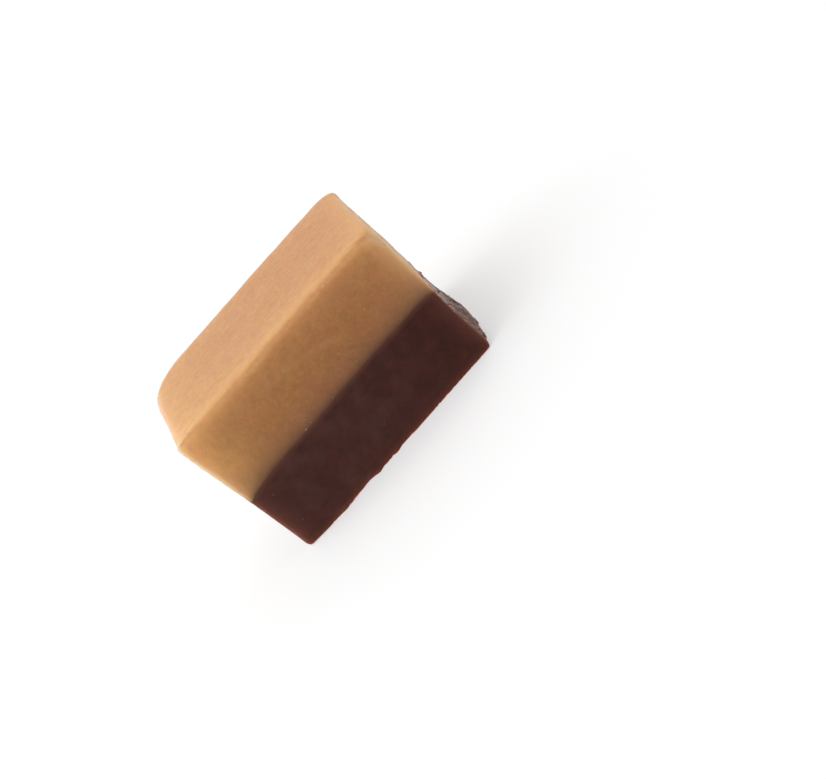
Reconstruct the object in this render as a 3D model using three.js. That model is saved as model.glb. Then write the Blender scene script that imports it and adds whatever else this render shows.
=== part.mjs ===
// A bulk-cut piece of two-layer fudge: caramel fudge set on chocolate fudge, standing on the chocolate.
// Millimetres. +X runs along the piece, +Y to its back, +Z up, and the origin is under its middle.
import * as THREE from 'three';
import { mergeVertices } from 'three/addons/utils/BufferGeometryUtils.js';

const { clamp, lerp, smoothstep } = THREE.MathUtils;

// The block. Its cut ends lean out a little, so it is longer at the top than at the base.
const topLength = 27.84;
const baseLength = 26.46;
const width = 18.2;
const height = 17.2;
const topSkew = 0.3; // the top front edge is further out on the left than on the right

// Upright corners, seen from above: three cut ones, and one that lay against the tray's round corner.
// They are worn rounder close under the top, between these two depths.
const cornerRadius = { frontLeft: 0.5, frontRight: 0.3, backLeft: 5, backRight: 1.6 };
const topCornerRadius = { frontLeft: 0.6, frontRight: 1, backLeft: 5.2, backRight: 2.2 };
const topCornerDepth = { starts: 3, full: 0.5 };

// The rounding of the edges of the top and of the base. Towards the two front corners it grows or
// narrows by the amounts for left and right, half as much every reach further from them.
const topEdge = { front: 1.8, back: 1.4, left: 1.2, right: 1.1, atCorner: { left: -0.6, right: 0 } };
const baseEdge = { front: 0.1, back: 0.35, left: 1, right: 1, atCorner: { left: 0.3, right: 0.3 } };
const atCornerReach = 1.5;
const edgeSoftness = 2.7; // 2 rounds an edge to an arc, and more starts the turn more softly

// Worn corners of the top: which corner, how far its tip is pushed in, and how far from the tip that
// is felt.
const knocks = [
  { u: 1, v: -1, push: [-0.45, 0.55, -0.6], reach: 2.6 },
  { u: 1, v: 1, push: [0.6, -0.9, 0], reach: 4 },
];

// The bond, where the caramel was poured on the chocolate. It dips where the knife dragged it at the ends.
const bond = { height: 8.7, climb: 0.006, leftDip: 0.78, leftReach: 2, rightDip: 0.6, rightReach: 1.1 };
const bondRipple = { depth: 0.07, length: 13 };
const bondGap = 0.3; // left free between the two solids

// The right end broke rather than cut, and swells out. The deep swelling is low in the chocolate, from
// the base up to its top: a sag under 1 sets its deepest part lower, and front and back are the
// distances over which it grows from the front and fades behind the middle. A slight one runs the
// whole height, and grows from the front and the back over its shoulder.
const lowBulge = { depth: 0.82, top: 5.4, sag: 0.62, lead: 0.4, front: 3.4, back: 5.2 };
const highBulge = { depth: 0.26, shoulder: 5.5 };
const bulgeReach = 6;

// The left end is drawn in a little, most of all just behind its front corner.
const endHollow = { depth: 0.1, lip: 0.6, span: 11, reach: 7 };

// The soft unevenness of a piece that was cut by hand and tumbled in a tray. It fades away towards
// the middle of the top and of the base, by this power of the distance from there.
const unevenness = { depth: 0.028, length: 9, fade: 4 };

// Rows of facets along the length, across the width, and up each layer.
const rows = { length: 28, width: 18, caramel: 7, chocolate: 6 };
const crowding = 0.75; // how much closer the rows stand at the edges, from 0 to 1

const caramelFinish = { color: 0xc4935c, roughness: 0.5, metalness: 0 };
const chocolateFinish = { color: 0x4a2e27, roughness: 0.5, metalness: 0 };

// Moves evenly spaced rows closer together towards -1 and 1, where the edges are.
function crowd(place) {
  return lerp(place, Math.sin((place * Math.PI) / 2), crowding);
}

function halfLengthAt(z) {
  return lerp(baseLength, topLength, z / height) / 2;
}

function radiusOfCorner(u, v, z) {
  const corner = (v < 0 ? 'front' : 'back') + (u < 0 ? 'Left' : 'Right');
  const worn = smoothstep(z, height - topCornerDepth.starts, height - topCornerDepth.full);
  return lerp(cornerRadius[corner], topCornerRadius[corner], worn);
}

// The point of the block's outline at height z that stands for the point (u, v) of a square's edge,
// and the direction straight out of the block there.
function outlineAt(u, v, z) {
  const half = new THREE.Vector2(halfLengthAt(z), width / 2);
  const radius = radiusOfCorner(u, v, z);
  const sharp = new THREE.Vector2(u, v).multiply(half);
  const inner = half.clone().subScalar(radius);
  const centre = sharp.clone().clamp(inner.clone().negate(), inner);
  const outward = sharp.clone().sub(centre).normalize();
  const point = centre.addScaledVector(outward, radius);
  return { point, outward };
}

// Height of the middle of the bond at the point (x, y).
function bondAt(x, y) {
  const wave = (2 * Math.PI) / bondRipple.length;
  const ripple = bondRipple.depth * (Math.sin(wave * x) / 2 + Math.cos(wave * y) - 1);
  const leftDip = bond.leftDip * Math.exp(-(halfLengthAt(bond.height) + x) / bond.leftReach);
  const rightDip = bond.rightDip * Math.exp(-(halfLengthAt(bond.height) - x) / bond.rightReach);
  return bond.height + bond.climb * x + ripple - leftDip - rightDip;
}

// The rounding of an edge at the place (u, v) of a square's edge, where the block faces outward.
function edgeRadiusAt(u, v, outward, edge) {
  const side = v < 0 ? edge.front : edge.back;
  const end = u < 0 ? edge.left : edge.right;
  const radius = lerp(side, end, outward.x ** 2);
  if (v >= 0) return radius;
  const alongSide = Math.abs(v) === 1;
  const toCorner = alongSide ? (1 - Math.abs(u)) * halfLengthAt(height / 2) : ((1 - Math.abs(v)) * width) / 2;
  const atCorner = u < 0 ? edge.atCorner.left : edge.atCorner.right;
  return radius + atCorner * 0.5 ** (toCorner / atCornerReach);
}

// Rounds an edge between two faces. A point on one face, given by its depths behind both faces,
// slides on to the rounding: it returns the new depths.
function roundEdge(inset, drop, radius) {
  const along = Math.max(inset, drop);
  if (along >= radius) return { inset, drop };
  const over = 0.5 ** (1 / edgeSoftness) * (1 - along / radius);
  const up = (1 - over ** edgeSoftness) ** (1 / edgeSoftness);
  const near = radius * (1 - up);
  const far = radius * (1 - over);
  return inset < drop ? { inset: near, drop: far } : { inset: far, drop: near };
}

// How far the broken right end swells out.
function bulgeAt(x, y, z) {
  const front = -width / 2;
  const { top, sag, lead, back } = lowBulge;
  const low = Math.sin(Math.PI * clamp(z / top, 0, 1) ** sag);
  const lowAcross = smoothstep(y, front - lead, front + lowBulge.front) * smoothstep(-y, -back, back);
  const high = Math.sin(Math.PI * clamp(z / height, 0, 1));
  const inFront = smoothstep(y, front, front + highBulge.shoulder);
  const behind = smoothstep(-y, front, front + highBulge.shoulder);
  const nearEnd = smoothstep(x, halfLengthAt(z) - bulgeReach, halfLengthAt(z));
  return (lowBulge.depth * low * lowAcross + highBulge.depth * high * inFront * behind) * nearEnd;
}

// How far the left end is drawn in.
function hollowAt(x, y, z) {
  const nearEnd = smoothstep(-x, halfLengthAt(z) - endHollow.reach, halfLengthAt(z));
  const fromFront = Math.max(y + width / 2, 0);
  const lip = 1 - Math.exp(-fromFront / endHollow.lip);
  return endHollow.depth * nearEnd * lip * Math.max(1 - fromFront / endHollow.span, 0);
}

// How far the worn corners of the top are pushed in at a point.
function knockAt(point) {
  const moved = new THREE.Vector3();
  for (const { u, v, push, reach } of knocks) {
    const tip = new THREE.Vector3((u * topLength) / 2, (v * width) / 2, height);
    const share = Math.max(1 - point.distanceTo(tip) / reach, 0) ** 2;
    moved.addScaledVector(new THREE.Vector3(...push), share);
  }
  return moved;
}

function unevennessAt(x, y, z) {
  const wave = (2 * Math.PI) / unevenness.length;
  const slow = Math.sin(wave * x + 1.3) * Math.cos(wave * (z - y) * 0.6);
  const quick = Math.sin(wave * (y + z) * 1.7 + 0.4) * Math.cos(wave * x * 1.4 + 2);
  return unevenness.depth * (slow + quick / 2);
}

// Gives a point of the straight-sided block its hand-cut place. The base stays flat.
function handCut(point, outward, edgeShare) {
  const { x, y, z } = point;
  const rise = z / height;
  const push = unevennessAt(x, y, z) * edgeShare ** unevenness.fade;
  const skew = topSkew * rise * (x / halfLengthAt(z)) * (0.5 - y / width);
  const lift = unevennessAt(y, x, z) * rise ** unevenness.fade;
  point.x += bulgeAt(x, y, z) + hollowAt(x, y, z) + outward.x * push;
  point.y += skew + outward.y * push;
  point.z += lift;
  return point.add(knockAt(point));
}

// The place in a layer of the point (u, v) of a square, at a share of the way from the bond, 0, to
// the layer's open face, 1. heightOf(share, bondZ) gives the height there.
function layerPoint(u, v, share, openEdge, heightOf) {
  const edgeShare = Math.max(Math.abs(u), Math.abs(v));
  const rim = edgeShare > 0 ? [u / edgeShare, v / edgeShare] : [1, 0];
  const overBond = outlineAt(...rim, bond.height).point.multiplyScalar(edgeShare);
  const bondZ = bondAt(overBond.x, overBond.y);
  const faceZ = heightOf(1, bondZ);
  const z = heightOf(share, bondZ);
  const { point, outward } = outlineAt(...rim, z);
  const inset = point.dot(outward) * (1 - edgeShare);
  const radius = edgeRadiusAt(...rim, outward, openEdge);
  const rounded = roundEdge(inset, Math.abs(faceZ - z), radius);
  point.multiplyScalar(edgeShare).addScaledVector(outward, inset - rounded.inset);
  const roundedZ = faceZ + Math.sign(bondZ - faceZ) * rounded.drop;
  return handCut(new THREE.Vector3(point.x, point.y, roundedZ), outward, edgeShare);
}

// One layer: a box of facets whose points are moved on to the layer's surface. openSide is 1 where
// the layer's open face is its top, and -1 where it is its base.
function layerGeometry(upRows, openSide, openEdge, heightOf) {
  const box = new THREE.BoxGeometry(2, 2, 2, rows.length, rows.width, upRows);
  box.deleteAttribute('normal');
  box.deleteAttribute('uv');
  const geometry = mergeVertices(box);
  const points = geometry.attributes.position;
  for (let i = 0; i < points.count; i += 1) {
    const u = crowd(points.getX(i));
    const v = crowd(points.getY(i));
    const share = crowd((1 + openSide * points.getZ(i)) / 2);
    const point = layerPoint(u, v, share, openEdge, heightOf);
    points.setXYZ(i, point.x, point.y, point.z);
  }
  geometry.computeVertexNormals();
  return geometry;
}

function layer(name, geometry, finish) {
  const mesh = new THREE.Mesh(geometry, new THREE.MeshStandardMaterial(finish));
  mesh.name = name;
  return mesh;
}

function caramelLayer() {
  const heightOf = (share, bondZ) => lerp(bondZ + bondGap / 2, height, share);
  const geometry = layerGeometry(rows.caramel, 1, topEdge, heightOf);
  return layer('caramel_layer', geometry, caramelFinish);
}

function chocolateLayer() {
  const heightOf = (share, bondZ) => lerp(bondZ - bondGap / 2, 0, share);
  const geometry = layerGeometry(rows.chocolate, -1, baseEdge, heightOf);
  return layer('chocolate_layer', geometry, chocolateFinish);
}

// Sets the middle of the piece over the origin.
function centre(group) {
  const middle = new THREE.Box3().setFromObject(group).getCenter(new THREE.Vector3());
  group.position.set(-middle.x, -middle.y, 0);
}

const fudge = new THREE.Group();
fudge.add(caramelLayer(), chocolateLayer());
centre(fudge);

export default fudge;
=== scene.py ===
import math
import random

import bmesh
import bpy
from mathutils import Matrix, Vector, noise
from mathutils.bvhtree import BVHTree


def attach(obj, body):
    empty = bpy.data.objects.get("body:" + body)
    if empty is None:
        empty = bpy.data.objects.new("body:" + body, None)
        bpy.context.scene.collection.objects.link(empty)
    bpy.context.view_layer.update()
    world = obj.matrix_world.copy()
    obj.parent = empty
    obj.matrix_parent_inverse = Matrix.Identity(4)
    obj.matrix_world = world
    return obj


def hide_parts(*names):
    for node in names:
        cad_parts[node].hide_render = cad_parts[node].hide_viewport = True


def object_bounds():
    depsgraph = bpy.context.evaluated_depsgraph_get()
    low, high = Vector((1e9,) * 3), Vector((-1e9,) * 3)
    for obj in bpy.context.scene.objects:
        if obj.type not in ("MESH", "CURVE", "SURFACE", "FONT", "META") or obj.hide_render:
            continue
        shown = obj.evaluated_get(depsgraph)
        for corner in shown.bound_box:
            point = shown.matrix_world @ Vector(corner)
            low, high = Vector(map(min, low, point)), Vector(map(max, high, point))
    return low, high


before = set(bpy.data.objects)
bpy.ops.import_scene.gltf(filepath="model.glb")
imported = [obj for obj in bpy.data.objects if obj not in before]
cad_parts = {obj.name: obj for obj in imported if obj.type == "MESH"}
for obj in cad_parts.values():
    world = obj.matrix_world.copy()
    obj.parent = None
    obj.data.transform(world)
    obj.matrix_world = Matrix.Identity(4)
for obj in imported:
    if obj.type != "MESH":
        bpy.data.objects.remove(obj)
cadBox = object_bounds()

# A hand-cut block of two-layer fudge: caramel set on chocolate.
# +X runs to the broken end, +Y to the back. Shapes are worked out in millimetres.
mm = 0.001
chipSeed = 3
noise.seed_set(chipSeed)  # the broken end's chips turn out the same each time


class Wire:  # one output socket of a material: arithmetic on it adds the nodes
    def __init__(self, tree, socket=None):
        self.tree = tree
        self.socket = socket

    def add(self, kind, settings=None, inputs=None, output=0):
        node = self.tree.nodes.new("ShaderNode" + kind)
        for name, value in (settings or {}).items():
            setattr(node, name, value)
        for name, value in (inputs or {}).items():
            if isinstance(value, Wire):
                self.tree.links.new(value.socket, node.inputs[name])
            else:
                node.inputs[name].default_value = value
        return Wire(self.tree, node.outputs[output])

    def math(self, operation, first, second):
        return self.add("Math", {"operation": operation}, {0: first, 1: second})

    def __add__(self, other):
        return self.math("ADD", self, other)

    def __radd__(self, other):
        return self.math("ADD", other, self)

    def __sub__(self, other):
        return self.math("SUBTRACT", self, other)

    def __rsub__(self, other):
        return self.math("SUBTRACT", other, self)

    def __mul__(self, other):
        return self.math("MULTIPLY", self, other)

    def __rmul__(self, other):
        return self.math("MULTIPLY", other, self)

    def __pow__(self, other):
        return self.math("POWER", self, other)

    def fade(self, low, high):  # smooth step from 0 at low to 1 at high
        ends = {"Value": self, "From Min": low, "From Max": high}
        return self.add("MapRange", {"interpolation_type": "SMOOTHSTEP"}, ends)

    def halving(self, reach):  # from 1 at 0, half as much every reach further
        return self.math("POWER", 0.5, self * (1 / reach))

    def axis(self, name):
        return self.add("SeparateXYZ", None, {"Vector": self}, name)

    def mix(self, low, high):  # colours, by this wire from 0 to 1
        settings = {"data_type": "RGBA", "clamp_factor": True}
        return self.add("Mix", settings, {0: self, 6: low, 7: high}, 2)

    def stretched(self, x, y, z):  # vectors
        return self.add("VectorMath", {"operation": "MULTIPLY"}, {0: self, 1: (x, y, z)})

    def shifted(self, x, y, z):
        return self.add("VectorMath", {"operation": "ADD"}, {0: self, 1: (x, y, z)})

    def noise(self, size, detail=2, rough=0.5, bend=0):  # size of a blotch in mm, on mm coordinates
        inputs = {"Vector": self, "Scale": 1 / size, "Detail": detail, "Roughness": rough}
        return self.add("TexNoise", None, {**inputs, "Distortion": bend})

    def pebbles(self, size):  # rounded grains side by side
        return 1 - self.add("TexVoronoi", None, {"Vector": self, "Scale": 1 / size})

    def turned(self, degrees):  # about the block's front-to-back axis
        angle = {"Vector": self, "Angle": math.radians(degrees)}
        return self.add("VectorRotate", {"rotation_type": "Y_AXIS"}, angle)


def newMaterial(name):
    material = bpy.data.materials.new(name)
    material.use_nodes = True
    material.node_tree.nodes.clear()
    return material, Wire(material.node_tree)


def useSurface(material, surface):
    output = material.node_tree.nodes.new("ShaderNodeOutputMaterial")
    material.node_tree.links.new(surface.socket, output.inputs["Surface"])


def blockCoordinates(start):  # the block's own coordinates, in millimetres
    place = start.add("TexCoord", output="Object")
    return place.stretched(1 / mm, 1 / mm, 1 / mm)


def markOf(start, name):  # a number kept on the mesh
    return start.add("Attribute", {"attribute_name": name}, output="Fac")


block = {
    "topLength": 27.84,
    "baseLength": 26.46,
    "width": 18.2,
    "height": 17.2,
    "topSkew": 0.3,
    "corners": {"frontLeft": 0.5, "frontRight": 0.3, "backLeft": 5.0, "backRight": 1.6},
    "topCorners": {"frontLeft": 0.6, "frontRight": 1.0, "backLeft": 5.2, "backRight": 2.2},
    "topCornerDepth": {"starts": 3.0, "full": 0.5},  # below the top, where the corners change over
    # radii, with what is added to the front's at its two ends
    "topEdge": {"front": 1.8, "back": 1.4, "left": 1.2, "right": 1.1, "atLeft": -0.6, "atRight": 0.0},
    "baseEdge": {"front": 0.1, "back": 0.35, "left": 1.0, "right": 1.0, "atLeft": 0.3, "atRight": 0.3},
    "atCornerReach": 1.5,
    "edgeSoftness": 2.7,  # 2 rounds an edge to an arc, and more starts the turn more softly
    "edgeWander": 0.1, "wanderLength": 1.6,  # how unevenly the edges are rounded, as a share
}
knocks = [  # at the top's corners: which one, the push and its reach
    {"corner": (1, -1), "push": (-0.45, 0.55, -0.6), "reach": 2.6},
    {"corner": (1, 1), "push": (0.6, -0.9, 0.0), "reach": 4.0},
]
bond = {  # the level where the layers meet, which dips at both ends
    "height": 8.7, "climb": 0.006,
    "leftDip": 0.78, "leftReach": 2.0, "rightDip": 0.6, "rightReach": 1.1,
}
bondRipple = {"depth": 0.07, "length": 13.0, "fine": 0.03, "fineSize": 2.2}
endBulge = {  # the broken end swells low in the chocolate, towards its front
    "chocolate": 0.82, "top": 5.4, "sag": 0.62, "front": 3.4, "back": 5.2,
    "caramel": 0.26, "shoulder": 5.5, "reach": 6.0,
}
endHollow = {"depth": 0.1, "span": 11.0, "lip": 0.6, "reach": 7.0}
unevenness = {"depth": 0.028, "length": 9.0, "fade": 4}

glow = {  # light that comes through, and how far in it halves
    "left": 1.0, "leftReach": 2.2,
    "right": 0.72, "rightReach": 1.0, "rightLow": 0.45,  # as a share, down at the bond
    "elsewhere": 0.1, "overEdge": 0.35,
    "topLeft": 0.22, "topLeftReach": 4.0,
    "topFront": 0.42, "topFrontReach": 1.9,
}

farOff = 99.0  # stands for no edge near
layers = {
    "caramel": {"levels": 72, "edge": "topEdge", "open": block["height"]},
    "chocolate": {"levels": 72, "edge": "baseEdge", "open": 0.0},
}
grid = {"columns": 120, "rows": 150, "crowding": 0.45}
coarseGrid = {"columns": 28, "rows": 18, "levels": 6}

relief = {  # depths in mm, of blotches of these sizes in mm
    "cutWave": 0.03, "cutWaveSize": 4.0,
    "drag": 0.016, "dragLength": 5.0, "dragWidth": 0.42, "dragTilt": 0.35,
    "grain": 0.006, "grainSize": 0.5,
    "topWave": 0.016, "topWaveSize": 5.0,
    "topPebble": 0.008, "topPebbleSize": 0.9,
    "breakLumps": 0.09, "breakLumpSize": 3.2,
    "breakFacets": 0.11, "breakFacetSize": 1.5,
    "breakChips": 0.055, "breakChipSize": 0.55,
    "breakCrumb": 0.025, "breakCrumbSize": 0.4,
    "breakMargin": 0.6, "breakAbove": 0.32, "breakChange": 0.8,  # as a share, in the caramel
    "foot": 0.2, "footReach": 1.2, "footFades": (4.0, 8.0),
    "nick": 0.07, "nickSize": 0.5, "nickReach": 0.35,
    "basePit": 0.1, "basePitSize": 1.1,
    "spreadReach": 0.5, "spreadFades": (1.5, 0.3),
}
baseSpread = [  # where the front of the base spread out: place along it, depth and reach
    (-10.4, 0.2, 1.6), (-7.7, 0.38, 1.3), (-4.6, -0.15, 0.6), (-3.1, 0.38, 0.5), (-1.7, 0.23, 0.5),
    (-0.5, 0.3, 0.5), (2.4, 0.08, 1.0),
]


def ease(value, low, high):
    t = min(max((value - low) / (high - low), 0.0), 1.0)
    return t * t * (3 - 2 * t)


def blend(low, high, share):
    return low + (high - low) * share


def crowd(place):
    return blend(place, math.sin(place * math.pi / 2), grid["crowding"])


def halfLengthAt(z):
    return blend(block["baseLength"], block["topLength"], z / block["height"]) / 2


def cornerRadius(u, v, z):
    side = "Left" if u < 0 else "Right"
    corner = ("front" if v < 0 else "back") + side
    depth = block["topCornerDepth"]
    nearTop = ease(z, block["height"] - depth["starts"], block["height"] - depth["full"])
    return blend(block["corners"][corner], block["topCorners"][corner], nearTop)


def outlineAt(u, v, z):  # point and outward direction, for a place on a square's edge
    half = (halfLengthAt(z), block["width"] / 2)
    radius = cornerRadius(u, v, z)
    sharp = (u * half[0], v * half[1])
    centre = [min(max(s, radius - h), h - radius) for s, h in zip(sharp, half)]
    outward = Vector((sharp[0] - centre[0], sharp[1] - centre[1])).normalized()
    return Vector(centre) + outward * radius, outward


def bondAt(x, y, rough=True):
    wave = 2 * math.pi / bondRipple["length"]
    half = halfLengthAt(bond["height"])
    dips = bond["leftDip"] * math.exp(-(half + x) / bond["leftReach"])
    dips += bond["rightDip"] * math.exp(-(half - x) / bond["rightReach"])
    ripple = bondRipple["depth"] * (math.sin(wave * x) / 2 + math.cos(wave * y) - 1)
    fine = bondRipple["fine"] * fractal(Vector((x, y, 0)), bondRipple["fineSize"], 71, 2) if rough else 0.0
    return bond["height"] + bond["climb"] * x + ripple + fine - dips


def roundEdge(inset, drop, radius):  # new depths behind both faces, and the turn from its own face
    along = max(inset, drop)
    if along >= radius:
        return inset, drop, 0.0
    power = block["edgeSoftness"]
    over = 0.5 ** (1 / power) * (1 - along / radius)
    up = (1 - over ** power) ** (1 / power)
    near, far = radius * (1 - up), radius * (1 - over)
    turn = math.atan2(over ** (power - 1), up ** (power - 1))
    return (near, far, turn) if inset < drop else (far, near, turn)


def bulgeAt(x, y, z):
    half = block["width"] / 2
    low = math.sin(math.pi * min(max(z / endBulge["top"], 0.0), 1.0) ** endBulge["sag"])
    low *= ease(y, -half - 0.4, endBulge["front"] - half) * ease(-y, -endBulge["back"], endBulge["back"])
    high = math.sin(math.pi * min(max(z / block["height"], 0.0), 1.0))
    high *= ease(y, -half, endBulge["shoulder"] - half) * ease(-y, -half, endBulge["shoulder"] - half)
    nearEnd = ease(x, halfLengthAt(z) - endBulge["reach"], halfLengthAt(z))
    return (endBulge["chocolate"] * low + endBulge["caramel"] * high) * nearEnd


def hollowAt(x, y, z):
    nearEnd = ease(-x, halfLengthAt(z) - endHollow["reach"], halfLengthAt(z))
    fromFront = max(y + block["width"] / 2, 0.0)
    lip = 1 - math.exp(-fromFront / endHollow["lip"])
    return endHollow["depth"] * nearEnd * lip * max(1 - fromFront / endHollow["span"], 0.0)


def unevennessAt(x, y, z):
    wave = 2 * math.pi / unevenness["length"]
    slow = math.sin(wave * x + 1.3) * math.cos(wave * (z - y) * 0.6)
    quick = math.sin(wave * (y + z) * 1.7 + 0.4) * math.cos(wave * x * 1.4 + 2)
    return unevenness["depth"] * (slow + quick / 2)


def handCut(point, outward, edgeShare):
    x, y, z = point
    rise = z / block["height"]
    push = unevennessAt(x, y, z) * edgeShare ** unevenness["fade"]
    skew = block["topSkew"] * rise * (x / halfLengthAt(z)) * (0.5 - y / block["width"])
    lift = unevennessAt(y, x, z) * rise ** unevenness["fade"]
    moved = Vector((bulgeAt(x, y, z) + hollowAt(x, y, z), skew, lift))
    return point + moved + outward.to_3d() * push


def knockAt(point):
    moved = Vector((0, 0, 0))
    for knock in knocks:
        along, across = knock["corner"]
        tip = Vector((along * block["topLength"], across * block["width"], 2 * block["height"])) / 2
        moved += Vector(knock["push"]) * max(1 - (point - tip).length / knock["reach"], 0.0) ** 2
    return moved


def fractal(point, size, seed, octaves=3):
    return noise.fractal(point / size + Vector((seed, seed * 0.7, -seed)), 0.7, 2.0, octaves)


def cutFace(point):  # a knife's long drag lines, over slow waves
    along = point.x * math.cos(relief["dragTilt"]) - point.z * math.sin(relief["dragTilt"])
    across = point.x * math.sin(relief["dragTilt"]) + point.z * math.cos(relief["dragTilt"])
    lines = Vector((along / relief["dragLength"], point.y, across / relief["dragWidth"]))
    drag = relief["drag"] * noise.noise(lines) * (0.4 + ease(fractal(point, 3, 5), -0.2, 0.5))
    return drag + relief["cutWave"] * fractal(point, relief["cutWaveSize"], 11, 2)


def facets(point, size):  # flat chips, each with its own height and tilt
    bent = point / size + 0.35 * noise.noise_vector(point / size * 1.3)
    middle = noise.voronoi(bent)[1][0]
    tilt = noise.noise_vector(middle * 2.3 + Vector((7.1, 3.3, 5.7)))
    return noise.cell(middle * 3.7) - 0.5 + tilt.dot(bent - middle)


def brokenFace(point, fromEdge):  # lumps with chips on them, dying out at the edges
    lumps = relief["breakLumps"] * fractal(point, relief["breakLumpSize"], 21, 3)
    large = relief["breakFacets"] * facets(point, relief["breakFacetSize"])
    small = relief["breakChips"] * facets(point, relief["breakChipSize"])
    crumb = relief["breakCrumb"] * fractal(point, relief["breakCrumbSize"], 23, 2)
    change = relief["breakChange"]
    above = ease(point.z, bond["height"] - change, bond["height"] + change)
    softer = blend(1.0, relief["breakAbove"], above)
    return (lumps + large + small + crumb) * softer * ease(fromEdge, 0.0, relief["breakMargin"])


def topFace(point):
    wave = relief["topWave"] * fractal(point, relief["topWaveSize"], 31, 2)
    return wave + relief["topPebble"] * fractal(point, relief["topPebbleSize"], 33, 2)


def baseFace(point):  # pits only: the base stands flat
    pit = ease(fractal(point, relief["basePitSize"], 41), 0.25, 0.7)
    return -relief["basePit"] * pit


def nicks(point, fromEdge):  # small bites along the sharp edges
    bite = ease(fractal(point, relief["nickSize"], 51), 0.1, 0.6)
    return -relief["nick"] * bite * (1 - ease(fromEdge, 0.0, relief["nickReach"]))


def spreadPush(point, fromEdge):  # the ragged front edge of the base
    push = 0.0
    for x, depth, reach in baseSpread:
        push += depth * math.exp(-((point.x - x) / reach) ** 2)
    begins, full = (block["width"] / 2 - fade for fade in relief["spreadFades"])
    return push * (1 - ease(fromEdge, 0.0, relief["spreadReach"])) * ease(-point.y, begins, full)


def footPush(point):  # the base spread a little under the knife
    low = 1 - ease(point.z, 0.0, relief["footReach"])
    return relief["foot"] * low * ease(-point.y, *relief["footFades"])


def reliefAt(point, normal, fromEdge, fromSharpEdge):
    side = cutFace(point) * (1 - max(normal.x, 0.0)) * (1 - abs(normal.z))
    broken = brokenFace(point, fromEdge) * ease(normal.x, 0.3, 0.95)
    top = topFace(point) * max(normal.z, 0.0)
    under = baseFace(point) * ease(-normal.z, 0.9, 1.0)
    grain = relief["grain"] * fractal(point, relief["grainSize"], 61, 2) * (1 - max(-normal.z, 0.0))
    return side + broken + top + under + grain + nicks(point, fromSharpEdge)


def halved(distance, reach):  # from 1 at 0, half as much every reach further
    return 0.5 ** (max(distance, 0.0) / reach)


def glowAt(point, normal, fromCorner):  # light comes through from the ends, most of all into the front
    half = halfLengthAt(point.z)
    left = glow["left"] * halved(half + point.x, glow["leftReach"])
    right = glow["right"] * halved(half - point.x, glow["rightReach"])
    right *= blend(glow["rightLow"], 1.0, ease(point.z, bond["height"] - 1, block["height"]))
    overEdge = halved(fromCorner, glow["overEdge"])
    front = blend(glow["elsewhere"], 1.0, max(ease(-normal.y, 0.2, 0.9), overEdge))
    overTop = glow["topFront"] * halved(block["width"] / 2 + point.y, glow["topFrontReach"])
    overTop += glow["topLeft"] * halved(half + point.x, glow["topLeftReach"])
    overTop *= ease(normal.z, 0.85, 1.0)
    onEnd = ease(abs(normal.x), 0.3, 0.95) * (1 - overEdge)
    return (left + right) * front * (1 - onEnd) + overTop


def meanHalf(axis):  # half the block's length or width
    return (block["baseLength"] + block["topLength"]) / 4 if axis == 0 else block["width"] / 2


def edgeRadius(u, v, outward, toCorner, radii):
    side, end = radii["front" if v < 0 else "back"], radii["left" if u < 0 else "right"]
    radius = blend(side, end, outward.x ** 2)
    if v < 0:
        radius += radii["atLeft" if u < 0 else "atRight"] * halved(toCorner, block["atCornerReach"])
    return radius


def layerPoint(u, v, share, layer, rough=True):  # a point of a square lattice, and its marks
    edgeShare = max(abs(u), abs(v))
    edge = (u / edgeShare, v / edgeShare) if edgeShare else (1.0, 0.0)
    over, _ = outlineAt(*edge, bond["height"])
    bondZ = bondAt(over.x * edgeShare, over.y * edgeShare, rough)
    openZ = layer["open"]
    upward = 1.0 if openZ > bondZ else -1.0
    z = blend(bondZ, openZ, share)
    flat, outward = outlineAt(*edge, z)
    inset = flat.dot(outward) * (1 - edgeShare)
    drop = abs(openZ - z)
    toCorner = (1 - min(abs(edge[0]), abs(edge[1]))) * meanHalf(0 if abs(edge[1]) == 1 else 1)
    radius = edgeRadius(u, v, outward, toCorner, block[layer["edge"]])
    if rough:
        wander = noise.noise(Vector((flat.x, flat.y, 9)) / block["wanderLength"])
        radius *= 1 + block["edgeWander"] * wander
    newInset, newDrop, turn = roundEdge(inset, drop, radius)
    flat = flat * edgeShare + outward * (inset - newInset)
    point = handCut(Vector((flat.x, flat.y, openZ - upward * newDrop)), outward, edgeShare)
    point += knockAt(point)
    lean = turn if inset < drop else math.pi / 2 - turn
    normal = outward.to_3d() * math.cos(lean) + Vector((0, 0, upward * math.sin(lean)))
    fromCorner = toCorner + inset if v < 0 else farOff
    fromOpen = max(inset, drop)
    if rough and min(inset, drop) < 1e-6:
        sharp = min(fromCorner, fromOpen if upward < 0 else farOff)
        point = point + normal * reliefAt(point, normal, min(fromCorner, fromOpen), sharp)
        if upward < 0:
            point += outward.to_3d() * (spreadPush(point, fromOpen) + footPush(point))
        point.z = max(point.z, 0.0)
    marks = {
        "aboveBond": point.z - bondZ,
        "fromEdge": min(fromCorner, fromOpen),
        "fromCorner": fromCorner,
        "broken": ease(normal.x, 0.3, 0.95),
        "top": ease(normal.z, 0.4, 0.98),
        "glow": glowAt(point, normal, fromCorner),
    }
    return point, marks


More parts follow.
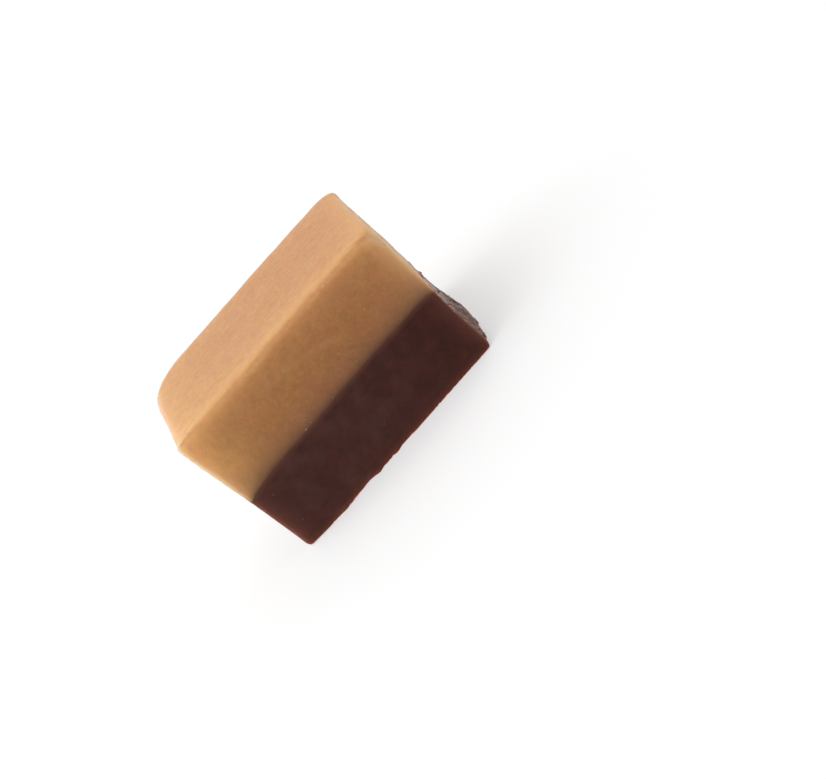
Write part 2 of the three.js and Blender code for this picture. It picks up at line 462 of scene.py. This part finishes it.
def middleOfForm():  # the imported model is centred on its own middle, without the fine relief
    points = []
    for layer in layers.values():
        for i in range(coarseGrid["columns"] + 1):
            for j in range(coarseGrid["rows"] + 1):
                u, v = 2 * i / coarseGrid["columns"] - 1, 2 * j / coarseGrid["rows"] - 1
                if max(abs(u), abs(v)) < 1:
                    continue
                for k in range(coarseGrid["levels"] + 1):
                    share = k / coarseGrid["levels"]
                    points.append(layerPoint(crowd(u), crowd(v), crowd(share), layer, False)[0])
    return [(min(p[i] for p in points) + max(p[i] for p in points)) / 2 for i in range(2)]


def buildLayer(name, layer, middle):
    columns, rows, levels = grid["columns"], grid["rows"], layer["levels"]
    sheet = bmesh.new()
    marksKept = ("aboveBond", "fromEdge", "fromCorner", "broken", "top", "glow")
    markLayers = {mark: sheet.verts.layers.float.new(mark) for mark in marksKept}
    corner = {}

    def vertexAt(i, j, k):
        if (i, j, k) not in corner:
            u, v = crowd(2 * i / columns - 1), crowd(2 * j / rows - 1)
            point, marks = layerPoint(u, v, crowd(k / levels), layer)
            vertex = sheet.verts.new((point - Vector((*middle, 0))) * mm)
            for mark, value in marks.items():
                vertex[markLayers[mark]] = value
            corner[i, j, k] = vertex
        return corner[i, j, k]

    def side(first, second, place):
        for a in range(first):
            for b in range(second):
                steps = ((a, b), (a + 1, b), (a + 1, b + 1), (a, b + 1))
                sheet.faces.new([vertexAt(*place(*step)) for step in steps]).smooth = True

    for k in (0, levels):
        side(columns, rows, lambda a, b, k=k: (a, b, k))
    for j in (0, rows):
        side(columns, levels, lambda a, b, j=j: (a, j, b))
    for i in (0, columns):
        side(rows, levels, lambda a, b, i=i: (i, a, b))
    bmesh.ops.recalc_face_normals(sheet, faces=sheet.faces)
    for edge in sheet.edges:  # the layer ends crisply at the bond
        edge.smooth = edge.calc_face_angle(0.0) < math.radians(50)
    mesh = bpy.data.meshes.new(name)
    sheet.to_mesh(mesh)
    sheet.free()
    piece = bpy.data.objects.new(name, mesh)
    bpy.context.scene.collection.objects.link(piece)
    print("built", name, len(mesh.polygons), "faces")
    return piece


caramelLook = {  # colours, and how much of each is mixed in
    "body": (0.510, 0.213, 0.056, 1),
    "golden": (0.552, 0.254, 0.066, 1), "goldenSize": 2.2,
    "rosy": (0.565, 0.200, 0.080, 1), "rosySize": 1.32, "rosyAmount": 0.7,
    "topSheen": (0.59, 0.285, 0.112, 1), "topSheenAmount": 0.36,  # painted sheen: the top is tinted paler and whiter
    "pale": (0.80, 0.50, 0.23, 1), "paleSize": 0.34, "paleAmount": 0.17,  # fine sugar grain
    "dark": (0.34, 0.13, 0.04, 1), "darkSize": 0.748, "darkAmount": 0.4, "darkLessOnTop": 0.14,
    "spot": (0.47, 0.13, 0.05, 1), "spotSize": 0.42, "spotAmount": 0.25,  # small scorched spots
    "crumbly": (0.66, 0.37, 0.16, 1), "crumblySize": 0.7,  # the broken end is drier
    "crumblyLeast": 0.2, "crumblyMore": 0.5,
    "dryAndLit": (0.79, 0.46, 0.20, 1), "dryReach": 1.1,  # sugar dries paler along the edges, and painted light comes through them
    "dryLeast": 0.38, "dryMore": 0.4, "dryLessOnTop": 0.35,
    "glow": (0.96, 0.55, 0.17, 1), "glowStreak": 0.8,  # where light comes through from the ends
    "glowLeast": 0.65, "glowMore": 0.5,
    "rim": (0.62, 0.53, 0.47, 1), "rimReach": 0.45,  # painted sheen and light along the sharp upright edges
    "rimLeast": 0.34, "rimMore": 0.4, "rimLessOnRight": 0.35,
    "topRimReach": 0.35, "topRimAmount": 0.5,
    "litCrest": (0.90, 0.63, 0.38, 1), "crestReach": 0.55, "crestAmount": 0.75,  # painted highlight just under the top, on the rounded crease
    "worn": (0.6, 3.2), "wornBack": (-9.0, -6.5),  # a painted highlight at the knocked corner
    "bondShade": (0.27, 0.115, 0.060, 1), "brownReach": 1.5,  # painted shade, darker next to the chocolate
    "brownLeast": 0.45, "brownMore": 0.6,
    "soaked": (0.16, 0.047, 0.020, 1), "soakedReach": 0.35, "soakedAmount": 0.72,  # right at the bond
    "lessOnBreak": 0.75, "lessInGlow": 0.6,  # of the bond shade and soaked
    "smear": (0.25, 0.105, 0.052, 1), "smearRise": 6.5,  # chocolate dragged over the broken end
    "seamGlow": (0.85, 0.13, 0.06, 1), "seamReach": 0.15, "seamAmount": 0.9,  # the bond on the broken end, tinted red as painted light against the greenish shade there
    "knifeMark": {
        "from": -5.0, "to": 4.4, "height": 14.5, "fall": 0.026, "width": 0.26, "amount": 0.13,
    },
    "roughness": 0.5, "roughnessRange": 0.2,
    "haze": 0.5,
    "quietTop": 0.4,
    "bumpDepth": 0.035,
    "scatter": (0.0021, 0.00175, 0.0015),
}


def knifeMark(place):  # a faint curved scrape on the front
    mark = caramelLook["knifeMark"]
    x, y, z = (place.axis(name) for name in "XYZ")
    fromStart = x - mark["from"]
    off = z - mark["height"] + fromStart * fromStart * mark["fall"]
    line = (off * off).halving(mark["width"] ** 2)
    ends = x.fade(mark["from"] - 0.8, mark["from"] + 0.8) * (1 - x.fade(mark["to"] - 1, mark["to"] + 1))
    return line * ends * (1 - y.fade(-block["width"] / 2 + 0.4, -block["width"] / 2 + 1))


def endSmear(start, place, aboveBond):  # streaks that thin out upwards
    streaks = place.stretched(1, 1, 0.3).noise(0.6, 4, 0.65).fade(0.36, 0.64)
    patches = place.shifted(1, 6, 2).noise(1.6, 3, 0.6).fade(0.35, 0.65)
    nearBond = 1 - aboveBond.fade(0.0, caramelLook["smearRise"])
    amount = (streaks * 0.5 + 0.15) * (nearBond * 0.75 + 0.25) * (patches * 0.65 + 0.35)
    return markOf(start, "broken") * amount


def mottledCaramel(start, place):
    look = caramelLook
    top, broken = markOf(start, "top"), markOf(start, "broken")
    golden = place.noise(look["goldenSize"], 3, 0.6, 0.4).fade(0.3, 0.7)
    rosy = place.shifted(7, 3, 1).noise(look["rosySize"], 5, 0.75).fade(0.4, 0.66)
    pale = place.noise(look["paleSize"], 1).fade(0.42, 0.78)
    dark = place.shifted(4, 4, 4).noise(look["darkSize"], 3, 0.6).fade(0.42, 0.78)
    spot = place.shifted(8, 1, 6).noise(look["spotSize"], 1).fade(0.70, 0.78)
    crumbly = place.noise(look["crumblySize"], 4, 0.7) * look["crumblyMore"] + look["crumblyLeast"]
    colour = golden.mix(look["body"], look["golden"])
    colour = (rosy * look["rosyAmount"]).mix(colour, look["rosy"])
    # painted sheen: the top faces are tinted paler and whiter
    colour = (top * look["topSheenAmount"]).mix(colour, look["topSheen"])
    colour = (pale * look["paleAmount"]).mix(colour, look["pale"])
    colour = (dark * (look["darkAmount"] - top * look["darkLessOnTop"])).mix(colour, look["dark"])
    colour = (spot * look["spotAmount"]).mix(colour, look["spot"])
    colour = (knifeMark(place) * look["knifeMark"]["amount"]).mix(colour, look["pale"])
    return (broken * crumbly).mix(colour, look["crumbly"])


def palerEdges(start, place, colour):  # dry sugar, with painted light coming through, painted sheen on the edges and a painted highlight at the knocked corner
    look = caramelLook
    top, glowing = markOf(start, "top"), markOf(start, "glow")
    x, y, z = (place.axis(name) for name in "XYZ")
    fromLeft, toRight = x + block["topLength"] / 2, block["topLength"] / 2 - x
    below = block["height"] - z
    # partly dry sugar, partly painted light coming through: paler near the edges
    dryAndLit = place.noise(0.9, 3) * look["dryMore"] + look["dryLeast"]
    dryAndLit *= markOf(start, "fromEdge").halving(look["dryReach"]) * (1 - top * look["dryLessOnTop"])
    colour = dryAndLit.mix(colour, look["dryAndLit"])
    streaks = place.stretched(1, 1, 0.4).noise(look["glowStreak"], 3, 0.6).fade(0.3, 0.7)
    colour = (glowing * (streaks * look["glowMore"] + look["glowLeast"])).mix(colour, look["glow"])
    # painted sheen and light on the sharp upright edges and along the top's left edge
    rim = markOf(start, "fromCorner").halving(look["rimReach"])
    rim *= (glowing * look["rimMore"] + look["rimLeast"]) * (1 - x.fade(-5, 5) * look["rimLessOnRight"])
    rim += fromLeft.halving(look["topRimReach"]) * top * look["topRimAmount"]
    colour = rim.mix(colour, look["rim"])
    # painted highlight at the knocked top corner
    worn = (1 - (below + toRight).fade(*look["worn"])) * (1 - y.fade(*look["wornBack"]))
    # painted highlight on the crease just under the top, where light comes through
    litCrest = below.halving(look["crestReach"]) * glowing * look["crestAmount"]
    return ((litCrest + worn) * (1 - top)).mix(colour, look["litCrest"])


def darkerByBond(start, place, aboveBond, colour):
    look = caramelLook
    broken = markOf(start, "broken")
    shown = (1 - broken * look["lessOnBreak"]) * (1 - markOf(start, "glow") ** 4 * look["lessInGlow"])
    # painted shade: darker towards the chocolate, less on the broken end and where light comes through
    brown = place.shifted(2, 2, 0).noise(4.5, 1) * look["brownMore"] + look["brownLeast"]
    brown *= aboveBond.halving(look["brownReach"]) * shown
    colour = brown.mix(colour, look["bondShade"])
    ragged = (place.shifted(5, 0, 3).noise(0.8, 2) - 0.5) * 0.4
    soaked = (aboveBond + ragged).halving(look["soakedReach"]) * shown
    colour = (soaked * look["soakedAmount"]).mix(colour, look["soaked"])
    colour = endSmear(start, place, aboveBond).mix(colour, look["smear"])
    # painted red light along the bond on the broken end
    seamGlow = broken * aboveBond.halving(look["seamReach"]) * markOf(start, "fromCorner").fade(0.2, 1.2)
    return (seamGlow * look["seamAmount"]).mix(colour, look["seamGlow"])


def crumbled(start, place):  # bump on the broken end
    return (place.pebbles(0.36) + place.noise(0.2, 4, 0.7) * 2) * markOf(start, "broken")


def caramelMaterial():
    look = caramelLook
    material, start = newMaterial("caramel_fudge")
    place = blockCoordinates(start)
    colour = palerEdges(start, place, mottledCaramel(start, place))
    colour = darkerByBond(start, place, markOf(start, "aboveBond"), colour)
    pits = place.shifted(3, 3, 3).noise(0.3, 2, 0.6).fade(0.3, 0.42)
    grain = place.noise(0.12, 2, 0.7) + place.noise(0.35, 2) * 0.8 + pits * 0.5
    grain = grain * (1 - markOf(start, "top") * look["quietTop"]) + crumbled(start, place)
    bump = start.add("Bump", None, {"Strength": 0.6, "Distance": look["bumpDepth"] * mm, "Height": grain})
    surface = start.add("BsdfPrincipled", {"subsurface_method": "RANDOM_WALK"}, {
        "Base Color": colour,
        "Roughness": look["roughness"] + (place.noise(1.1, 3) - 0.5) * look["roughnessRange"],
        "Normal": bump,
        "IOR": 1.45,
        "Specular IOR Level": 0.35,
        "Subsurface Weight": 1.0,
        "Subsurface Radius": look["scatter"],
        "Subsurface Scale": 1.0,
        "Coat Weight": markOf(start, "broken") * look["haze"],
        "Coat Roughness": 0.6,
        "Coat IOR": 1.3,
        "Sheen Weight": 0.07,
        "Sheen Roughness": 0.5,
    })
    useSurface(material, surface)
    return material


chocolateLook = {
    "dark": (0.062, 0.0122, 0.0070, 1),
    "brown": (0.086, 0.0172, 0.0100, 1), "brownSize": 1.7,
    "bloom": (0.125, 0.045, 0.035, 1),  # a grey haze, which thins out towards the broken end
    "bloomPatch": 3.4, "bloomStroke": 0.7, "strokeTilt": 38,
    "bloomLeast": 0.12, "bloomPatches": 0.44, "bloomStrokes": 0.15,
    "bloomEnds": (0.0, 11.0), "bloomLeft": (-14.0, -9.0), "bloomAtLeft": 0.4,
    "rim": (0.24, 0.080, 0.052, 1), "rimReach": 0.5,  # painted highlight: paler along its sharp edges, where they catch the light
    "rimAmount": 0.62, "rimInGlow": 0.75, "rimAtBase": 0.14,
    "dust": (0.155, 0.062, 0.034, 1), "dustLeast": 0.3, "dustMore": 0.45,  # on the dry broken end
    "upperDustAndSheen": (0.50, 0.37, 0.29, 1), "upperLeast": 0.3, "upperMore": 0.55,  # paler near the bond: partly dust, partly painted sheen
    "upperDepth": -4.5, "upperFront": 0.8, "frontEnds": (-7.0, 1.0),
    "crack": (0.05, 0.02, 0.013, 1), "crackAmount": 0.45,
    "bond": (0.18, 0.066, 0.036, 1), "bondEnds": (-0.72, 0.22),  # caramel that soaked in
    "roughness": 0.55, "roughnessRange": 0.2,
    "haze": 0.6, "upperHaze": 0.4,
    "bumpDepth": 0.035,
    "scatter": (0.0007, 0.0003, 0.0002),
}


def bloomedChocolate(start, place):
    look = chocolateLook
    x = place.axis("X")
    blotch = place.noise(look["brownSize"], 4, 0.6, 0.3).fade(0.34, 0.68)
    colour = blotch.mix(look["dark"], look["brown"])
    strokes = place.turned(look["strokeTilt"]).stretched(0.3, 1, 1)
    strokes = strokes.noise(look["bloomStroke"], 3, 0.6).fade(0.4, 0.7)
    patches = place.shifted(3, 9, 5).noise(look["bloomPatch"], 3, 0.6).fade(0.38, 0.66)
    bloomed = patches * look["bloomPatches"] + strokes * look["bloomStrokes"] + look["bloomLeast"]
    fromLeft = x.fade(*look["bloomLeft"]) * (1 - look["bloomAtLeft"]) + look["bloomAtLeft"]
    return (bloomed * (1 - x.fade(*look["bloomEnds"])) * fromLeft).mix(colour, look["bloom"])


def dustAndSheenOnEnd(start, place, aboveBond, colour):
    look = chocolateLook
    broken = markOf(start, "broken")
    dusty = place.noise(0.5, 3, 0.65).fade(0.3, 0.62)
    colour = (broken * (dusty * look["dustMore"] + look["dustLeast"])).mix(colour, look["dust"])
    patchy = 0.08 + place.shifted(0, 8, 0).noise(1.8, 3, 0.6).fade(0.35, 0.65) * 0.35
    nearFront = 1 - place.axis("Y").fade(*look["frontEnds"])
    # partly dust, partly painted sheen: paler near the bond and towards the front
    dustAndSheen = aboveBond.fade(look["upperDepth"], 0) * (patchy + nearFront * look["upperFront"])
    dustAndSheen *= 0.25 + markOf(start, "fromCorner").fade(0.1, 0.7) * 0.75  # not on the edge itself
    dustAndSheen *= broken * (dusty * look["upperMore"] + look["upperLeast"])
    colour = dustAndSheen.mix(colour, look["upperDustAndSheen"])
    cracked = place.shifted(5, 2, 7).noise(0.45, 2, 0.6, 0.8).fade(0.56, 0.66)
    return (broken * cracked * look["crackAmount"]).mix(colour, look["crack"])


def chocolateColour(start, place, aboveBond):
    look = chocolateLook
    # painted light along the sharp edges and where light comes through, and low down and under the base
    # against the floor's shade
    rim = markOf(start, "fromEdge").halving(look["rimReach"]) * look["rimAmount"]
    rim += markOf(start, "glow") ** 4 * look["rimInGlow"]
    rim += (1 - place.axis("Z").fade(0.1, 0.9)) * look["rimAtBase"]
    colour = rim.mix(bloomedChocolate(start, place), look["rim"])
    colour = dustAndSheenOnEnd(start, place, aboveBond, colour)
    ragged = (place.noise(1.3, 2) - 0.5) * 0.3
    return (aboveBond + ragged).fade(*look["bondEnds"]).mix(colour, look["bond"])


def chocolateMaterial():
    look = chocolateLook
    material, start = newMaterial("chocolate_fudge")
    place = blockCoordinates(start)
    aboveBond = markOf(start, "aboveBond")
    pits = place.shifted(3, 3, 3).noise(0.35, 2, 0.6).fade(0.3, 0.42)
    grain = place.noise(0.14, 3, 0.65) + place.noise(0.5, 2) * 0.8 + pits * 0.4 + crumbled(start, place)
    bump = start.add("Bump", None, {"Strength": 0.6, "Distance": look["bumpDepth"] * mm, "Height": grain})
    haze = aboveBond.fade(look["upperDepth"], 0) * look["upperHaze"] + look["haze"]
    surface = start.add("BsdfPrincipled", {"subsurface_method": "RANDOM_WALK"}, {
        "Base Color": chocolateColour(start, place, aboveBond),
        "Roughness": look["roughness"] + (place.noise(0.9, 3) - 0.5) * look["roughnessRange"],
        "Normal": bump,
        "IOR": 1.45,
        "Specular IOR Level": 0.2,
        "Subsurface Weight": 1.0,
        "Subsurface Radius": look["scatter"],
        "Subsurface Scale": 1.0,
        "Coat Weight": markOf(start, "broken") * haze,
        "Coat Roughness": 0.6,
        "Coat IOR": 1.4,
        "Sheen Weight": 0.2,
        "Sheen Roughness": 0.3,
    })
    useSurface(material, surface)
    return material


def makeFudge():
    middle = middleOfForm()
    caramel = buildLayer("caramel_fudge_layer", layers["caramel"], middle)
    chocolate = buildLayer("chocolate_fudge_layer", layers["chocolate"], middle)
    caramel.data.materials.append(caramelMaterial())
    chocolate.data.materials.append(chocolateMaterial())
    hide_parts("caramel_layer")
    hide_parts("chocolate_layer")
    return caramel, chocolate


class Skin:  # the surface of a layer, in millimetres, for bits that sit on it
    def __init__(self, piece):
        points = [vertex.co / mm for vertex in piece.data.vertices]
        faces = [tuple(face.vertices) for face in piece.data.polygons]
        self.tree = BVHTree.FromPolygons(points, faces)

    def nearest(self, place):
        point, normal, _, _ = self.tree.find_nearest(Vector(place))
        return point, normal


def addBit(sheet, point, normal, size, look, dice):  # one chipped lump, sunk into the surface
    lump = bmesh.ops.create_icosphere(sheet, subdivisions=look["detail"], radius=1.0)["verts"]
    turn = normal.to_track_quat("Z", "Y").to_matrix() @ Matrix.Rotation(dice.uniform(0, 6.28), 3, "Z")
    spread = Vector((dice.uniform(0.8, 1.5), dice.uniform(0.6, 1.0), look["flatness"])) * size / 2
    seed = Vector((dice.uniform(0, 90), dice.uniform(0, 90), dice.uniform(0, 90)))
    centre = point + normal * size * look["proud"]
    for vertex in lump:
        chip = 1 + look["chipped"] * noise.noise(vertex.co * 1.1 + seed)
        shape = Vector([c * s * chip for c, s in zip(vertex.co, spread)])
        vertex.co = (centre + turn @ shape) * mm


def makeBits(name, look, bits, material):  # bits: surface, place and size of each
    dice = random.Random(look["seed"])
    sheet = bmesh.new()
    for skin, place, size in bits:
        point, normal = skin.nearest(place)
        addBit(sheet, point, normal, size, look, dice)
    mesh = bpy.data.meshes.new(name)
    sheet.to_mesh(mesh)
    sheet.free()
    mesh.materials.append(material)
    piece = bpy.data.objects.new(name, mesh)
    bpy.context.scene.collection.objects.link(piece)
    print("scattered", name, len(bits))
    return piece


def bitsOf(skin, look, dice):  # the placed ones, then strewn ones, of which small ones are commoner
    bits = [(skin, place, size) for place, size in look["placed"]]
    for _ in range(look["strewn"]):
        place = [dice.uniform(low, high) for low, high in zip(look["low"], look["high"])]
        bits.append((skin, place, blend(*look["sizes"], dice.random() ** 3)))
    return bits


sugarLook = {
    "placed": [  # place and size of the ones that catch the eye
        ((6.75, -8.7, 17.2), 0.2), ((13.1, -9.1, 16.7), 0.2), ((13.4, -9.1, 13.9), 0.16),
        ((-6.3, -4.9, 17.2), 0.16),
        ((-4.7, -9.1, 8.65), 0.14), ((-3.9, -9.1, 8.8), 0.1), ((-0.7, -9.1, 8.8), 0.12),
    ],
    "strewn": 44, "low": (-13.5, -9, 10), "high": (10, 9, 18), "sizes": (0.05, 0.12), "seed": 12,
    "detail": 1, "flatness": 0.7, "proud": 0.1, "chipped": 0.5,
    "colour": (0.78, 0.56, 0.34, 1),
}
crumbLook = {
    "placed": [((-11.6, -9.1, 6.7), 0.2), ((-11.7, -9.1, 2.6), 0.14)],
    "strewn": 40, "low": (14, -8.6, 0.6), "high": (14, 8.6, 7.6), "sizes": (0.12, 0.32), "seed": 31,
    "detail": 2, "flatness": 0.7, "proud": 0.14, "chipped": 0.45,
    "colour": (0.15, 0.072, 0.045, 1), "dusty": (0.23, 0.13, 0.09, 1),
}


def bitMaterial(name, low, high, shine, scatter):
    material, start = newMaterial(name)
    place = blockCoordinates(start)
    tone = place.noise(0.25, 2).fade(0.35, 0.65)
    bump = start.add("Bump", None, {"Strength": 0.3, "Distance": 0.01 * mm, "Height": place.noise(0.06, 2)})
    surface = start.add("BsdfPrincipled", {"subsurface_method": "RANDOM_WALK"}, {
        "Base Color": tone.mix(low, high),
        "Roughness": 0.45 + place.noise(0.2, 2) * 0.2,
        "Normal": bump,
        "Specular IOR Level": shine,
        "Subsurface Weight": 1.0,
        "Subsurface Radius": (scatter, scatter * 0.8, scatter * 0.7),
        "Subsurface Scale": 1.0,
    })
    useSurface(material, surface)
    return material


def makeSugar(skin):
    bits = bitsOf(skin, sugarLook, random.Random(sugarLook["seed"]))
    material = bitMaterial("sugar_grain", caramelLook["dryAndLit"], sugarLook["colour"], 0.5, 0.0003)
    return makeBits("sugar_grains", sugarLook, bits, material)


def makeCrumbs(skin):
    bits = bitsOf(skin, crumbLook, random.Random(crumbLook["seed"]))
    material = bitMaterial("chocolate_crumb", crumbLook["colour"], crumbLook["dusty"], 0.25, 0.0002)
    return makeBits("chocolate_crumbs", crumbLook, bits, material)


stage = {
    "floorSize": 4.0,
    "floorTone": (0.5, 0.5, 0.5, 1),
    "floorGlow": 0.48,  # a light table, so that shadows stay faint
    "skyFront": 0.08,
    "skyBack": 1.2,
    "skySeen": 1.0,
    "key": 1.45,
    "keyFrom": (-0.4, -0.15, 0.87),
    "keySoftness": 60,
    "side": 0.03,  # a wide lamp low on the left
    "sideAt": (-120, 20, 45),
    "sideSize": 90,
}


def makeFloor():
    sheet = bmesh.new()
    bmesh.ops.create_grid(sheet, x_segments=8, y_segments=8, size=stage["floorSize"] / 2)
    mesh = bpy.data.meshes.new("floor")
    sheet.to_mesh(mesh)
    sheet.free()
    floor = bpy.data.objects.new("floor", mesh)
    floor.location.z = cadBox[0][2]
    bpy.context.scene.collection.objects.link(floor)
    material, start = newMaterial("floor_paper")
    white = {"Base Color": stage["floorTone"], "Roughness": 1.0, "Specular IOR Level": 0.0}
    glow = {"Emission Color": (1, 1, 1, 1), "Emission Strength": stage["floorGlow"]}
    surface = start.add("BsdfPrincipled", None, {**white, **glow})
    useSurface(material, surface)
    mesh.materials.append(material)


def makeSky():  # a white tent, dimmer in front, and an even white where it is seen directly
    world = bpy.data.worlds.new("tent")
    world.use_nodes = True
    world.node_tree.nodes.clear()
    start = Wire(world.node_tree)
    direction = start.add("TexCoord", output="Generated")
    lit = stage["skyFront"] + direction.axis("Y").fade(-0.7, 0.7) * (stage["skyBack"] - stage["skyFront"])
    seen = start.add("LightPath", output="Is Camera Ray")
    strength = lit * (1 - seen) + seen * stage["skySeen"]
    sky = start.add("Background", None, {"Color": (1, 1, 1, 1), "Strength": strength})
    output = world.node_tree.nodes.new("ShaderNodeOutputWorld")
    world.node_tree.links.new(sky.socket, output.inputs["Surface"])
    bpy.context.scene.world = world


def makeLamp(name, kind, power, place):  # it shines from its place to the middle of the floor
    lamp = bpy.data.lights.new(name, kind)
    lamp.energy = power
    rig = bpy.data.objects.new(name, lamp)
    rig.location = place
    rig.rotation_euler = Vector(place).to_track_quat("Z", "Y").to_euler()
    rig.visible_camera = False
    bpy.context.scene.collection.objects.link(rig)
    return lamp


def makeLights():
    makeSky()
    key = makeLamp("key", "SUN", stage["key"], stage["keyFrom"])
    key.angle = math.radians(stage["keySoftness"])
    side = makeLamp("side", "AREA", stage["side"], Vector(stage["sideAt"]) * mm)
    side.shape = "DISK"
    side.size = stage["sideSize"] * mm


shot = {
    "azimuth": 3.8,
    "elevation": 24.3,
    "roll": 49.7,
    "distance": 199.6,
    "aim": (4.49, -3.35, 0.52),
    "lens": 87.2,
}


def makeCamera():
    camera = bpy.data.cameras.new("camera")
    camera.lens = shot["lens"]
    camera.sensor_width = 36
    camera.sensor_fit = "HORIZONTAL"
    camera.clip_start, camera.clip_end = 0.005, 20
    rig = bpy.data.objects.new("camera", camera)
    turn = Matrix.Rotation(math.radians(shot["azimuth"]), 4, "Z")
    turn = turn @ Matrix.Rotation(math.radians(90 - shot["elevation"]), 4, "X")
    turn = turn @ Matrix.Rotation(math.radians(-shot["roll"]), 4, "Z")
    back = turn @ Vector((0, 0, shot["distance"] * mm))
    rig.matrix_world = Matrix.Translation(Vector(shot["aim"]) * mm + back) @ turn
    bpy.context.scene.collection.objects.link(rig)
    bpy.context.scene.camera = rig
    bpy.context.scene.view_settings.view_transform = "Standard"


caramelLayer, chocolateLayer = makeFudge()
sugarGrains = makeSugar(Skin(caramelLayer))
chocolateCrumbs = makeCrumbs(Skin(chocolateLayer))
for piece in (caramelLayer, chocolateLayer, sugarGrains, chocolateCrumbs):
    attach(piece, "root")
print("fudge done")
makeFloor()
makeLights()
makeCamera()
print("stage done")
